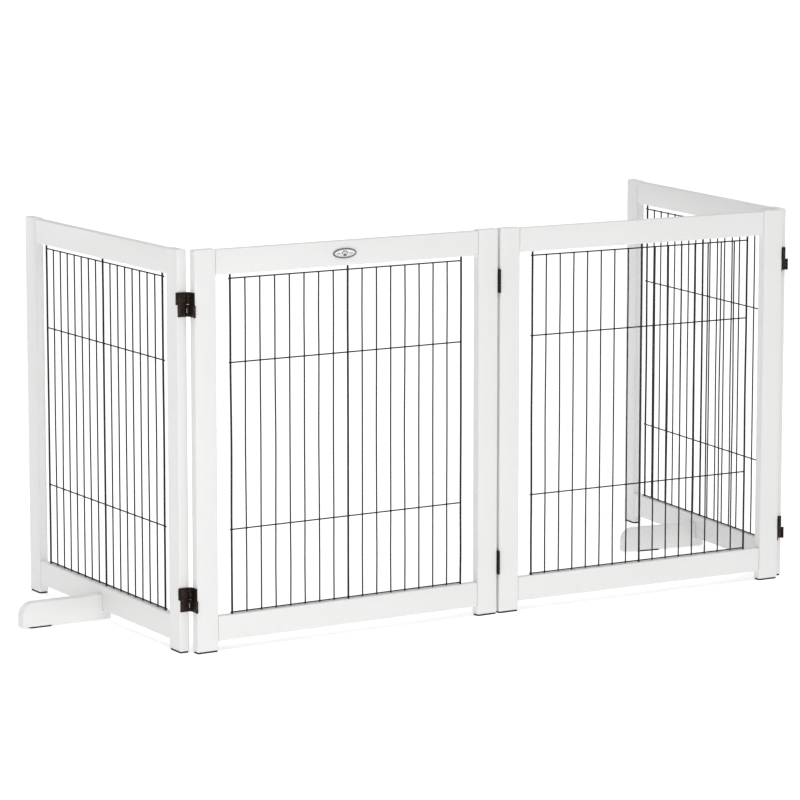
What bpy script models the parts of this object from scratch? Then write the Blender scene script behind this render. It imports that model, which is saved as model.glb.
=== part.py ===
"""Free-standing pet gate: four framed wire panels joined by two-way hinges, with two screw-on feet.

Metres, +Z up, standing on z = 0. Panels 2 and 3 are the front, panels 1 and 4 are folded back as
wings. In a panel's own frame x runs from its left edge to its right edge, y from its front face to
its back face, and z up from the floor.
"""

from math import pi, radians

import bmesh
import bpy
from mathutils import Matrix, Vector

MM = 0.001
GAP = 0.3 * MM  # air between pieces that touch
LAP = 1 * MM  # how far the shapes joined into one piece, and the cutters, run past each other

# Panel frame
PANEL_WIDTH = 540 * MM
PANEL_HEIGHT = 610 * MM
PANEL_DEPTH = 16 * MM
STILE_WIDTH = 36 * MM
RAIL_HEIGHT = 38 * MM
RAIL_DEPTH = 14 * MM
TOP_RAIL_DROP = 1.5 * MM  # top of the rail below the top of the stiles
BOTTOM_RAIL_LIFT = 16 * MM
EDGE_RADIUS = 2.2 * MM
RAIL_EDGE_RADIUS = 1.6 * MM
TENON = Vector((12 * MM, 6 * MM, 24 * MM))  # how far it enters the stile, thickness, height

# Wire grid
WIRES = 17
THIN_WIRE = 2.3 * MM
THICK_WIRE = 3.2 * MM  # at both ends and in the middle
CROSS_WIRE = 2.2 * MM
WELD_DEPTH = 0.4 * MM
GRID_MARGIN = 64 * MM  # outer wire from the panel's edge
GRID_BOTTOM = 56.2 * MM
GRID_TOP = 563.3 * MM
CROSS_WIRE_LEVELS = (0, 0.25, 0.75, 1)
CROSS_WIRE_END = 1.9 * MM  # how far it runs past the middle of the outer wires
THIN_WIRE_END = 1.3 * MM  # how far it runs past the middle of the end cross wires
ROD_IN_RAIL = 9 * MM
ROD_HOLE_DEPTH = 10 * MM
ROD_HOLE_RADIUS = 2.8 * MM

# Floor pads and feet
PAD_HEIGHT = 2 * MM
STILE_PAD_INSET = 0.8 * MM
FOOT_REACH = 135 * MM  # from the face of the panel
FOOT_OFF_CENTRE = -11 * MM  # clear of the middle wire
FOOT_THICKNESS = 20 * MM
FOOT_HEIGHT = 38 * MM
FOOT_TIP_RADIUS = 22 * MM
FOOT_PAD = Vector((18.4 * MM, 37 * MM, PAD_HEIGHT))
FOOT_PAD_FROM_TIP = {1: 13 * MM, 4: 30 * MM}
SCREW_LENGTH = 30 * MM
SCREW_RADIUS = 1.8 * MM
SCREW_HEAD_RADIUS = 3.8 * MM
SCREW_HEAD_HEIGHT = 2.4 * MM

# Badge on the top rail of panel 2
BADGE_LENGTH = 41 * MM
BADGE_HEIGHT = 15.5 * MM
BADGE_THICKNESS = 1.6 * MM
BADGE_RIM = 1.3 * MM
BADGE_RECESS = 0.5 * MM
BADGE_OFF_CENTRE = -10 * MM

# Two-way hinges
HINGE_HEIGHT = 37 * MM
HINGE_FROM_END = 82 * MM  # middle of the hinge from the end of the stile
PLATE = 1.0 * MM
PLATE_OVERHANG = 0.6 * MM  # face of the panel past the edge of a leaf
WEB_INSET = 0.05 * MM  # ends of a web inside the ends of its knuckle
BARREL_RADIUS = 2.0 * MM
PIN_RADIUS = 1.0 * MM
PIN_HOLE_RADIUS = 1.3 * MM
PIVOT_OUT = 1.4 * MM  # pivot axis outside the face of the panel
BARREL_SIDES = 10
HINGE_GAP = 3 * PLATE + 4 * GAP  # between the edges of two panels

# Fold at rest, in degrees, counterclockwise seen from above
FOLD_12 = -92.5
FOLD_23 = -2.0
FOLD_34 = 83.0

PAINT = ("white_paint", (0.80, 0.80, 0.79), 0.45, 0.0)
WIRE_BLACK = ("black_wire", (0.012, 0.012, 0.013), 0.38, 0.0)
HINGE_BRONZE = ("dark_bronze", (0.045, 0.028, 0.02), 0.42, 0.8)
PAD_BLACK = ("black_pad", (0.01, 0.01, 0.01), 0.85, 0.0)
BADGE_METAL = ("badge_metal", (0.72, 0.72, 0.72), 0.3, 0.9)
SCREW_STEEL = ("screw_steel", (0.55, 0.55, 0.56), 0.35, 1.0)


def clear_scene():
    for obj in list(bpy.data.objects):
        bpy.data.objects.remove(obj, do_unlink=True)


def new_collection(name):
    collection = bpy.data.collections.new(name)
    bpy.context.scene.collection.children.link(collection)
    return collection


def material(finish):
    name, colour, roughness, metallic = finish
    if name in bpy.data.materials:
        return bpy.data.materials[name]
    made = bpy.data.materials.new(name)
    made.use_nodes = True
    shader = made.node_tree.nodes["Principled BSDF"]
    shader.inputs["Base Color"].default_value = (*colour, 1)
    shader.inputs["Roughness"].default_value = roughness
    shader.inputs["Metallic"].default_value = metallic
    return made


class Frame:
    """An empty on a panel's pivot. Pieces are placed in the panel's own coordinates."""

    def __init__(self, name, pivot=(0, 0), parent=None, at=(0, 0), turn=0.0):
        self.pivot = Vector((*pivot, 0))
        self.empty = bpy.data.objects.new(name, None)
        parts.objects.link(self.empty)
        self.empty.rotation_euler.z = radians(turn)
        self.empty.location = (*at, 0)
        if parent:
            self.empty.parent = parent.empty
            self.empty.location -= parent.pivot

    def place(self, obj, location=(0, 0, 0), turned_over=False):
        obj.parent = self.empty
        obj.location = Vector(location) - self.pivot
        if turned_over:
            obj.rotation_euler.y = pi


def from_bmesh(name, mesh_builder, finish=None):
    """A linked object of that mesh: a part if it has a finish, and a cutter if it hasn't."""
    mesh = bpy.data.meshes.new(name)
    mesh_builder.to_mesh(mesh)
    mesh_builder.free()
    obj = bpy.data.objects.new(name, mesh)
    if finish:
        parts.objects.link(obj)
        mesh.materials.append(material(finish))
    else:
        cutters.objects.link(obj)
        obj.hide_render = True
        obj.display_type = "WIRE"
    return obj


def add_box(builder, low, high):
    low, high = Vector(low), Vector(high)
    size = Matrix.Diagonal((*(high - low), 1))
    bmesh.ops.create_cube(builder, size=1, matrix=Matrix.Translation((low + high) / 2) @ size)


def add_cylinder(builder, centre, radius, height, sides):
    """An upright cylinder that starts at centre and runs up."""
    middle = Vector(centre) + Vector((0, 0, height / 2))
    turn = Matrix.Rotation(pi / sides, 4, "Z")
    bmesh.ops.create_cone(
        builder, cap_ends=True, segments=sides, radius1=radius, radius2=radius,
        depth=height, matrix=Matrix.Translation(middle) @ turn,
    )


def box(name, low, high, finish=None):
    builder = bmesh.new()
    add_box(builder, low, high)
    return from_bmesh(name, builder, finish)


def bevel(obj, width, segments=2):
    rounding = obj.modifiers.new("edges", "BEVEL")
    rounding.width = width
    rounding.segments = segments
    rounding.limit_method = "ANGLE"
    rounding.angle_limit = radians(40)


def boolean(obj, other, operation):
    change = obj.modifiers.new(f"{operation.lower()} {other.name}", "BOOLEAN")
    change.operation = operation
    change.object = other


def smooth(obj, angle=35):
    obj.data.shade_smooth()
    obj.data.set_sharp_from_angle(angle=radians(angle))


def rail_levels():
    """The lowest and highest z of each rail."""
    top = PANEL_HEIGHT - TOP_RAIL_DROP
    return {
        "top": (top - RAIL_HEIGHT, top),
        "bottom": (BOTTOM_RAIL_LIFT, BOTTOM_RAIL_LIFT + RAIL_HEIGHT),
    }


def tenon_bar(name, low, high, clearance):
    """The bar that runs the length of a rail and stands out at both ends as its tenons."""
    middle = (low + high) / 2
    reach = TENON.x + clearance
    half_depth = TENON.y / 2 + clearance
    half_height = TENON.z / 2 + clearance
    return box(
        name,
        (STILE_WIDTH - reach, PANEL_DEPTH / 2 - half_depth, middle - half_height),
        (PANEL_WIDTH - STILE_WIDTH + reach, PANEL_DEPTH / 2 + half_depth, middle + half_height),
    )


def make_stiles(number, frame):
    mortises = []
    for level, (low, high) in rail_levels().items():
        mortise = tenon_bar(f"mortise_{number}_{level}", low, high, GAP)
        frame.place(mortise)
        mortises.append(mortise)
    for side, left in (("left", 0), ("right", PANEL_WIDTH - STILE_WIDTH)):
        stile = box(
            f"panel_{number}_{side}_stile",
            (left, 0, PAD_HEIGHT + GAP),
            (left + STILE_WIDTH, PANEL_DEPTH, PANEL_HEIGHT),
            PAINT,
        )
        bevel(stile, EDGE_RADIUS)
        for mortise in mortises:
            boolean(stile, mortise, "DIFFERENCE")
        frame.place(stile)
        pad = box(
            f"panel_{number}_{side}_stile_pad",
            (left + STILE_PAD_INSET, STILE_PAD_INSET, 0),
            (left + STILE_WIDTH - STILE_PAD_INSET, PANEL_DEPTH - STILE_PAD_INSET, PAD_HEIGHT),
            PAD_BLACK,
        )
        frame.place(pad)


def make_rails(number, frame):
    rod_holes = make_rod_holes(number, frame)
    recess = (PANEL_DEPTH - RAIL_DEPTH) / 2
    rails = {}
    for level, (low, high) in rail_levels().items():
        rail = box(
            f"panel_{number}_{level}_rail",
            (STILE_WIDTH + GAP, recess, low),
            (PANEL_WIDTH - STILE_WIDTH - GAP, PANEL_DEPTH - recess, high),
            PAINT,
        )
        bevel(rail, RAIL_EDGE_RADIUS)
        tenons = tenon_bar(f"tenons_{number}_{level}", low, high, 0)
        frame.place(tenons)
        boolean(rail, tenons, "UNION")
        boolean(rail, rod_holes, "DIFFERENCE")
        frame.place(rail)
        rails[level] = rail
    return rails


def wire_places():
    """The x and thickness of each upright wire."""
    pitch = (PANEL_WIDTH - 2 * GRID_MARGIN) / (WIRES - 1)
    thick = (0, WIRES // 2, WIRES - 1)
    return [
        (GRID_MARGIN + i * pitch, THICK_WIRE if i in thick else THIN_WIRE)
        for i in range(WIRES)
    ]


def make_rod_holes(number, frame):
    """One cutter for the holes of the three thick wires in both rails."""
    bottom = rail_levels()["bottom"][1] - ROD_HOLE_DEPTH
    top = rail_levels()["top"][0] + ROD_HOLE_DEPTH
    builder = bmesh.new()
    for x, thickness in wire_places():
        if thickness == THICK_WIRE:
            add_cylinder(builder, (x, PANEL_DEPTH / 2, bottom), ROD_HOLE_RADIUS, top - bottom, 8)
    holes = from_bmesh(f"rod_holes_{number}", builder)
    frame.place(holes)
    return holes


def make_grid(number, frame):
    """Upright wires in the middle of the frame, with cross wires welded on behind them."""
    middle = PANEL_DEPTH / 2
    uprights = bmesh.new()
    for x, thickness in wire_places():
        half = thickness / 2
        if thickness == THICK_WIRE:
            low = rail_levels()["bottom"][1] - ROD_IN_RAIL
            high = rail_levels()["top"][0] + ROD_IN_RAIL
        else:
            low, high = GRID_BOTTOM - THIN_WIRE_END, GRID_TOP + THIN_WIRE_END
        add_box(uprights, (x - half, middle - half, low), (x + half, middle + half, high))
    grid = from_bmesh(f"panel_{number}_wire_grid", uprights, WIRE_BLACK)

    crosses = bmesh.new()
    front = middle + THIN_WIRE / 2 - WELD_DEPTH
    half = CROSS_WIRE / 2
    for level in CROSS_WIRE_LEVELS:
        z = GRID_BOTTOM + level * (GRID_TOP - GRID_BOTTOM)
        add_box(
            crosses,
            (GRID_MARGIN - CROSS_WIRE_END, front, z - half),
            (PANEL_WIDTH - GRID_MARGIN + CROSS_WIRE_END, front + CROSS_WIRE, z + half),
        )
    cross_wires = from_bmesh(f"cross_wires_{number}", crosses)
    frame.place(cross_wires)
    boolean(grid, cross_wires, "UNION")
    frame.place(grid)


def turned(name, profile, sides, finish=None):
    """A solid of revolution about z. Its profile runs down the outer side, from axis to axis."""
    mesh = bpy.data.meshes.new(name)
    points = [(radius, 0, z) for radius, z in profile]
    mesh.from_pydata(points, [(i, i + 1) for i in range(len(points) - 1)], [])
    obj = bpy.data.objects.new(name, mesh)
    spin = obj.modifiers.new("turn", "SCREW")
    spin.steps = spin.render_steps = sides
    spin.use_merge_vertices = True
    spin.merge_threshold = 0.00001
    if finish:
        parts.objects.link(obj)
        mesh.materials.append(material(finish))
    else:
        cutters.objects.link(obj)
        obj.hide_render = True
        obj.display_type = "WIRE"
    return obj


def screw_profile(clearance=0.0):
    """Head down at the origin, shank and point upwards, with the clearance all round."""
    head = SCREW_HEAD_RADIUS + clearance
    shank = SCREW_RADIUS + clearance
    return [
        (0, SCREW_LENGTH + clearance),
        (shank, SCREW_LENGTH - 2 * SCREW_RADIUS + clearance),
        (shank, SCREW_HEAD_HEIGHT + clearance),
        (head, clearance),
        (head, -clearance),
        (0, -clearance),
    ]


def make_foot(number, frame, front_side, bottom_rail):
    """A board across the bottom rail, on the rail's front side or its back side, with a tongue
    under the rail and a screw up through the tongue. It is made on the front side, about the
    panel's middle, and for the back side everything is turned half round."""
    base = PAD_HEIGHT + GAP
    tip_end = -FOOT_REACH
    builder = bmesh.new()
    add_box(
        builder,
        (-FOOT_THICKNESS / 2, tip_end, base),
        (FOOT_THICKNESS / 2, PANEL_DEPTH, base + FOOT_HEIGHT),
    )
    tip = [
        edge for edge in builder.edges
        if all(v.co.y < tip_end + LAP and v.co.z > base + LAP for v in edge.verts)
    ]
    bmesh.ops.bevel(builder, geom=tip, offset=FOOT_TIP_RADIUS, segments=6, profile=0.5, affect="EDGES")
    foot = from_bmesh(f"panel_{number}_foot", builder, PAINT)
    bevel(foot, RAIL_EDGE_RADIUS)

    recess = (PANEL_DEPTH - RAIL_DEPTH) / 2
    notch = box(
        f"rail_notch_{number}",
        (-FOOT_THICKNESS, recess - GAP, BOTTOM_RAIL_LIFT - GAP),
        (FOOT_THICKNESS, 2 * PANEL_DEPTH, BOTTOM_RAIL_LIFT + 2 * RAIL_HEIGHT),
    )
    boolean(foot, notch, "DIFFERENCE")
    smooth(foot)
    screw_hole = turned(f"screw_hole_{number}", screw_profile(GAP), 12)
    boolean(foot, screw_hole, "DIFFERENCE")
    boolean(bottom_rail, screw_hole, "DIFFERENCE")
    screw = turned(f"panel_{number}_foot_screw", screw_profile(), 12, SCREW_STEEL)
    smooth(screw)
    pad_end = tip_end + FOOT_PAD_FROM_TIP[number]
    pad = box(
        f"panel_{number}_foot_pad",
        (-FOOT_PAD.x / 2, pad_end, 0),
        (FOOT_PAD.x / 2, pad_end + FOOT_PAD.y, FOOT_PAD.z),
        PAD_BLACK,
    )

    middle = Vector((PANEL_WIDTH / 2 + FOOT_OFF_CENTRE, 0, 0))
    screw_place = middle + Vector((0, PANEL_DEPTH / 2, base + 2 * GAP))
    places = {foot: middle, notch: middle, pad: middle, screw: screw_place, screw_hole: screw_place}
    for obj, place in places.items():
        if not front_side:
            place = Vector((PANEL_WIDTH - place.x, PANEL_DEPTH - place.y, place.z))
            obj.rotation_euler.z = pi
        frame.place(obj, place)


def make_badge(frame):
    """A plain oval plate with a raised rim, on the front of the top rail."""
    low, high = rail_levels()["top"]
    builder = bmesh.new()
    bmesh.ops.create_cone(
        builder, cap_ends=True, segments=32, radius1=0.5, radius2=0.5, depth=1,
        matrix=Matrix.Diagonal((BADGE_LENGTH, BADGE_HEIGHT, BADGE_THICKNESS, 1)),
    )
    face = max(builder.faces, key=lambda f: f.calc_center_median().z)
    bmesh.ops.inset_individual(builder, faces=[face], thickness=BADGE_RIM)
    bmesh.ops.translate(builder, verts=face.verts, vec=(0, 0, -BADGE_RECESS))
    bmesh.ops.rotate(builder, verts=builder.verts, cent=(0, 0, 0), matrix=Matrix.Rotation(pi / 2, 3, "X"))
    badge = from_bmesh("badge_plate", builder, BADGE_METAL)
    smooth(badge)
    rail_face = (PANEL_DEPTH - RAIL_DEPTH) / 2
    middle = PANEL_WIDTH / 2 + BADGE_OFF_CENTRE
    frame.place(badge, (middle, rail_face - GAP - BADGE_THICKNESS / 2, (low + high) / 2))


def knuckle_spans():
    """The z spans of the three knuckles in the upper half of a hinge: leaf, link, leaf."""
    half = HINGE_HEIGHT / 2 - 2 * GAP
    share = (half - 2 * GAP) / 3
    spans = [(GAP + i * (share + GAP), GAP + i * (share + GAP) + share) for i in range(3)]
    return spans


def hinge_leaf(name):
    """The plate on the edge of the left panel: front knuckles in its upper half, back knuckles in
    its lower half, and the pins fixed in them. Turned over, it serves the right panel."""
    plate_x = -1.5 * PLATE - GAP
    half = HINGE_HEIGHT / 2
    leaf = box(
        name,
        (plate_x, PLATE_OVERHANG, -half),
        (plate_x + PLATE, PANEL_DEPTH - PLATE_OVERHANG, half),
        HINGE_BRONZE,
    )
    spans = knuckle_spans()
    low, high = spans[0][0], spans[2][1]
    for place, y, sign in (("front", -PIVOT_OUT, 1), ("back", PANEL_DEPTH + PIVOT_OUT, -1)):
        lap = PLATE_OVERHANG + LAP
        inner = lap if sign > 0 else PANEL_DEPTH - lap
        knuckles = bmesh.new()
        for start, end in (spans[0], spans[2]):
            bottom = start if sign > 0 else -end
            add_cylinder(knuckles, (0, y, bottom), BARREL_RADIUS, end - start, BARREL_SIDES)
        knuckles = from_bmesh(f"{name}_{place}_knuckles", knuckles)
        webs = bmesh.new()
        for start, end in (spans[0], spans[2]):
            bottom = start if sign > 0 else -end
            add_box(
                webs,
                (plate_x, min(y, inner), bottom + WEB_INSET),
                (plate_x + PLATE, max(y, inner), bottom + end - start - WEB_INSET),
            )
        webs = from_bmesh(f"{name}_{place}_webs", webs)
        pin = bmesh.new()
        bottom = low if sign > 0 else -high
        add_cylinder(pin, (0, y, bottom + LAP), PIN_RADIUS, high - low - 2 * LAP, 8)
        pin = from_bmesh(f"{name}_{place}_pin", pin)
        for piece in (webs, knuckles, pin):
            boolean(leaf, piece, "UNION")
            piece.parent = leaf
    return leaf


def hinge_link(name):
    """The plate that joins the front pin of the left leaf to the back pin of the right leaf, in
    the upper half of a hinge. Turned over, it does the same in the lower half."""
    start, end = knuckle_spans()[1]
    low, high = knuckle_spans()[0][0], knuckle_spans()[2][1]
    link = box(
        name,
        (-PLATE / 2, BARREL_RADIUS - PIVOT_OUT + GAP, low),
        (PLATE / 2, PANEL_DEPTH - BARREL_RADIUS + PIVOT_OUT - GAP, high),
        HINGE_BRONZE,
    )
    ends = ((-PIVOT_OUT, BARREL_RADIUS), (PANEL_DEPTH + PIVOT_OUT, PANEL_DEPTH - BARREL_RADIUS))
    barrels, holes, webs = bmesh.new(), bmesh.new(), bmesh.new()
    for y, inner in ends:
        add_cylinder(barrels, (0, y, start), BARREL_RADIUS, end - start, BARREL_SIDES)
        add_cylinder(holes, (0, y, start - LAP), PIN_HOLE_RADIUS, end - start + 2 * LAP, 8)
        add_box(
            webs,
            (-PLATE / 2, min(y, inner), start + WEB_INSET),
            (PLATE / 2, max(y, inner), end - WEB_INSET),
        )
    webs = from_bmesh(f"{name}_webs", webs)
    barrels = from_bmesh(f"{name}_barrels", barrels)
    holes = from_bmesh(f"{name}_holes", holes)
    boolean(link, webs, "UNION")
    boolean(link, barrels, "UNION")
    boolean(link, holes, "DIFFERENCE")
    for piece in (webs, barrels, holes):
        piece.parent = link
    return link


def make_hinges(left_number, left, right_number, right, folds_back):
    """Both hinges between two panels. Folding back, the upper link stays with the left panel and
    the lower link with the right one; folding forward, the other way round."""
    levels = {"upper": PANEL_HEIGHT - HINGE_FROM_END, "lower": HINGE_FROM_END}
    for level, z in levels.items():
        name = f"hinge_{left_number}{right_number}_{level}"
        on_left = (PANEL_WIDTH + HINGE_GAP / 2, 0, z)
        on_right = (-HINGE_GAP / 2, 0, z)
        left.place(hinge_leaf(f"{name}_left_leaf"), on_left)
        right.place(hinge_leaf(f"{name}_right_leaf"), on_right, turned_over=True)
        upper_link = hinge_link(f"{name}_top_link")
        lower_link = hinge_link(f"{name}_bottom_link")
        if folds_back:
            left.place(upper_link, on_left)
            right.place(lower_link, on_right, turned_over=True)
        else:
            right.place(upper_link, on_right)
            left.place(lower_link, on_left, turned_over=True)


def make_panel(number, frame):
    make_stiles(number, frame)
    rails = make_rails(number, frame)
    make_grid(number, frame)
    return rails


def centre_on_origin(root):
    """Move the gate so that the middle of its box is over the origin."""
    bpy.context.view_layer.update()
    graph = bpy.context.evaluated_depsgraph_get()
    points = [
        obj.matrix_world @ vertex.co
        for obj in parts.objects if obj.type == "MESH"
        for vertex in obj.evaluated_get(graph).data.vertices
    ]
    for axis in (0, 1):
        values = [point[axis] for point in points]
        root.empty.location[axis] -= (min(values) + max(values)) / 2


clear_scene()
parts = new_collection("pet_gate")
cutters = new_collection("cutters")

front_axis = -PIVOT_OUT
back_axis = PANEL_DEPTH + PIVOT_OUT
at_left = -HINGE_GAP / 2
at_right = PANEL_WIDTH + HINGE_GAP / 2

panel_2 = Frame("panel_2_frame")
panel_1 = Frame("fold_12_pivot", (at_right, back_axis), panel_2, (at_left, back_axis), FOLD_12)
panel_3 = Frame("fold_23_pivot", (at_left, front_axis), panel_2, (at_right, front_axis), FOLD_23)
panel_4 = Frame("fold_34_pivot", (at_left, back_axis), panel_3, (at_right, back_axis), FOLD_34)

rails_1 = make_panel(1, panel_1)
make_panel(2, panel_2)
make_panel(3, panel_3)
rails_4 = make_panel(4, panel_4)
make_foot(1, panel_1, True, rails_1["bottom"])
make_foot(4, panel_4, False, rails_4["bottom"])
make_badge(panel_2)
make_hinges(1, panel_1, 2, panel_2, folds_back=True)
make_hinges(2, panel_2, 3, panel_3, folds_back=False)
make_hinges(3, panel_3, 4, panel_4, folds_back=True)
centre_on_origin(panel_2)
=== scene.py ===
import random
from math import atan2, pi, radians

import bpy
from mathutils import Matrix, Vector


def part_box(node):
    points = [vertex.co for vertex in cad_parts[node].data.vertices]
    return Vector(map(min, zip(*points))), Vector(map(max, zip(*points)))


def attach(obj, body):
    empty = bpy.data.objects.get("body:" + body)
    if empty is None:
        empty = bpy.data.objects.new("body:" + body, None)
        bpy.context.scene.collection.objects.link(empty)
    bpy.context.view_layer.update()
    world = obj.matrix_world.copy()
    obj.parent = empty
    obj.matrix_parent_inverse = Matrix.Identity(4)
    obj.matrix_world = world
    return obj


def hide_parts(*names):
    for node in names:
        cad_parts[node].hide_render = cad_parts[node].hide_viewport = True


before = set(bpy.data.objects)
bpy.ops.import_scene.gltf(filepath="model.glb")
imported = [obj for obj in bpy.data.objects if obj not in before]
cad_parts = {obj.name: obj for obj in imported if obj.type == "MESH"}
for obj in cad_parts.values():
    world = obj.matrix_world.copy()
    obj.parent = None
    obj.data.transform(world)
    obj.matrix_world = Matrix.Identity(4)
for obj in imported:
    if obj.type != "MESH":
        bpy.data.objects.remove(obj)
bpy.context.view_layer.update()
scene = bpy.context.scene
mm = 0.001


def onlySelect(obj):
    bpy.ops.object.select_all(action="DESELECT")
    obj.select_set(True)
    bpy.context.view_layer.objects.active = obj


def bakePlace(obj):
    # the object goes back to the origin and its place goes into the mesh
    onlySelect(obj)
    bpy.ops.object.transform_apply(location=True, rotation=True, scale=True)
    return obj


def addBox(name, low, high):
    low, high = Vector(low), Vector(high)
    bpy.ops.object.select_all(action="DESELECT")
    bpy.ops.mesh.primitive_cube_add(size=1, location=(low + high) / 2, scale=high - low)
    bpy.context.object.name = name
    return bakePlace(bpy.context.object)


def addCylinder(name, bottom, radius, height, sides=24):
    # upright, from its bottom centre
    bpy.ops.object.select_all(action="DESELECT")
    middle = Vector(bottom) + Vector((0, 0, height / 2))
    bpy.ops.mesh.primitive_cylinder_add(
        vertices=sides, radius=radius, depth=height, location=middle, end_fill_type="NGON")
    bpy.context.object.name = name
    return bakePlace(bpy.context.object)


def pick(obj, kind, wanted):
    # opens the object in edit mode with the edges or faces that pass the test selected
    onlySelect(obj)
    mesh = obj.data
    for element in (*mesh.vertices, *mesh.edges, *mesh.polygons):
        element.select = False
    if kind == "FACE":
        for face in mesh.polygons:
            face.select = wanted(face.center, face.normal)
    else:
        for edge in mesh.edges:
            start, end = (mesh.vertices[i].co for i in edge.vertices)
            edge.select = wanted((start + end) / 2, (end - start).normalized())
    bpy.context.tool_settings.mesh_select_mode = (False, kind == "EDGE", kind == "FACE")
    bpy.ops.object.mode_set(mode="EDIT")


def leave():
    bpy.ops.object.mode_set(mode="OBJECT")


def roundEdges(obj, width, segments, wanted=lambda middle, way: True):
    pick(obj, "EDGE", wanted)
    bpy.ops.mesh.bevel(offset=width, segments=segments, affect="EDGES")
    leave()


def combine(obj, others, operation):
    # boolean with each of the others, which are used up
    for other in others:
        change = obj.modifiers.new(operation.lower(), "BOOLEAN")
        change.operation = operation
        change.object = other
        onlySelect(obj)
        bpy.ops.object.modifier_apply(modifier=change.name)
        bpy.data.objects.remove(other)
    return obj


def copyOf(obj, name, where=Matrix.Identity(4)):
    # a copy with its own mesh, moved, turned or mirrored
    twin = obj.copy()
    twin.data = obj.data.copy()
    twin.name = twin.data.name = name
    scene.collection.objects.link(twin)
    twin.data.transform(where)
    if where.determinant() < 0:
        pick(twin, "FACE", lambda middle, normal: True)
        bpy.ops.mesh.normals_make_consistent(inside=False)
        leave()
    return twin


def joined(name, pieces):
    bpy.ops.object.select_all(action="DESELECT")
    for piece in pieces:
        piece.select_set(True)
    bpy.context.view_layer.objects.active = pieces[0]
    if len(pieces) > 1:
        bpy.ops.object.join()
    pieces[0].name = pieces[0].data.name = name
    return pieces[0]


def softShade(obj, angle=35):
    onlySelect(obj)
    bpy.ops.object.shade_smooth_by_angle(angle=radians(angle))
    return obj


def coverWith(obj, finish):
    # one finish all over
    obj.data.materials.clear()
    obj.data.materials.append(finish)
    return obj


def discard(*objects):
    for obj in objects:
        bpy.data.objects.remove(obj)


class Value:
    # wraps a socket, so that shader maths reads as sums

    def __init__(self, board, socket):
        self.board = board
        self.socket = socket

    def maths(self, operation, first, second):
        return self.board.add("ShaderNodeMath", {"operation": operation}, {0: first, 1: second})

    def __add__(self, other):
        return self.maths("ADD", self, other)

    def __radd__(self, other):
        return self.maths("ADD", other, self)

    def __rsub__(self, other):
        return self.maths("SUBTRACT", other, self)

    def __mul__(self, other):
        return self.maths("MULTIPLY", self, other)

    def __rmul__(self, other):
        return self.maths("MULTIPLY", other, self)

    def above(self, edge, softness):
        # 0 below the edge, 1 above it, with a soft step between
        return self.board.add(
            "ShaderNodeMapRange", {"interpolation_type": "SMOOTHSTEP", "clamp": True},
            {0: self, 1: edge - softness, 2: edge + softness, 3: 0.0, 4: 1.0})


class Finish:
    # one material and its node tree

    def __init__(self, name):
        self.material = bpy.data.materials.new(name)
        self.material.use_nodes = True
        self.tree = self.material.node_tree
        self.shader = self.tree.nodes["Principled BSDF"]

    def connect(self, value, socket):
        if isinstance(value, Value):
            self.tree.links.new(value.socket, socket)
        else:
            socket.default_value = value

    def add(self, kind, settings=None, sockets=None, output=0):
        node = self.tree.nodes.new(kind)
        for key, setting in (settings or {}).items():
            setattr(node, key, setting)
        for key, value in (sockets or {}).items():
            self.connect(value, node.inputs[key])
        return Value(self, node.outputs[output])

    def onObject(self, turn=0.0, stretch=(1, 1, 1)):
        # object coordinates, turned about z and stretched
        spot = self.add("ShaderNodeTexCoord", output="Object")
        turned = self.add("ShaderNodeMapping", {"vector_type": "POINT"},
                          {"Vector": spot, "Rotation": (0, 0, turn)})
        return self.add("ShaderNodeMapping", {"vector_type": "POINT"},
                        {"Vector": turned, "Scale": stretch})

    def noise(self, where, scale, detail=2.0, roughness=0.5):
        return self.add("ShaderNodeTexNoise", None, {
            "Vector": where, "Scale": scale, "Detail": detail, "Roughness": roughness})

    def between(self, factor, first, second):
        return self.add("ShaderNodeMix", {"data_type": "RGBA"},
                        {"Factor": factor, 6: (*first, 1), 7: (*second, 1)}, output=2)

    def relief(self, height, strength, depth):
        bump = self.add("ShaderNodeBump", None, {
            "Height": height, "Strength": strength, "Distance": depth})
        self.connect(bump, self.shader.inputs["Normal"])

    def shade(self, **values):
        for name, value in values.items():
            self.connect(value, self.shader.inputs[name.replace("_", " ")])
        return self.material


def middleOf(node):
    low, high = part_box(node)
    return (low + high) / 2


stileLow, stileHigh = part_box("panel_2_left_stile")
stile = {
    "size": stileHigh - stileLow,
    "base": stileLow.z,
    "arris": 2.2 * mm,
    "arrisSteps": 5,
}


def panelPlace(number):
    # a panel's own coordinates: x from its left edge, y from its front face to its back, z up
    left = middleOf(f"panel_{number}_left_stile_pad")
    right = middleOf(f"panel_{number}_right_stile_pad")
    along = right - left
    turn = Matrix.Rotation(atan2(along.y, along.x), 4, "Z")
    corner = left - turn @ Vector((stile["size"].x / 2, stile["size"].y / 2, 0))
    corner.z = 0
    return Matrix.Translation(corner) @ turn


place = {number: panelPlace(number) for number in (1, 2, 3, 4)}


def boxInPanel(node, number):
    back = place[number].inverted()
    points = [back @ vertex.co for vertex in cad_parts[node].data.vertices]
    low = Vector(min(point[axis] for point in points) for axis in range(3))
    high = Vector(max(point[axis] for point in points) for axis in range(3))
    return low, high


panel = {
    "width": boxInPanel("panel_2_right_stile", 2)[1].x,
    "depth": stile["size"].y,
    "height": stileHigh.z,
}
panelMiddle = Vector((panel["width"] / 2, panel["depth"] / 2, 0))
# about the upright line through the middle of a panel
halfTurn = (Matrix.Translation(panelMiddle) @ Matrix.Rotation(pi, 4, "Z")
            @ Matrix.Translation(-panelMiddle))


def install(obj, number, node=None):
    # a finished piece, in its panel's coordinates until now
    obj.data.transform(place[number])
    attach(obj, f"panel_{number}")
    if node:
        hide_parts(node)
    return obj


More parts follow.
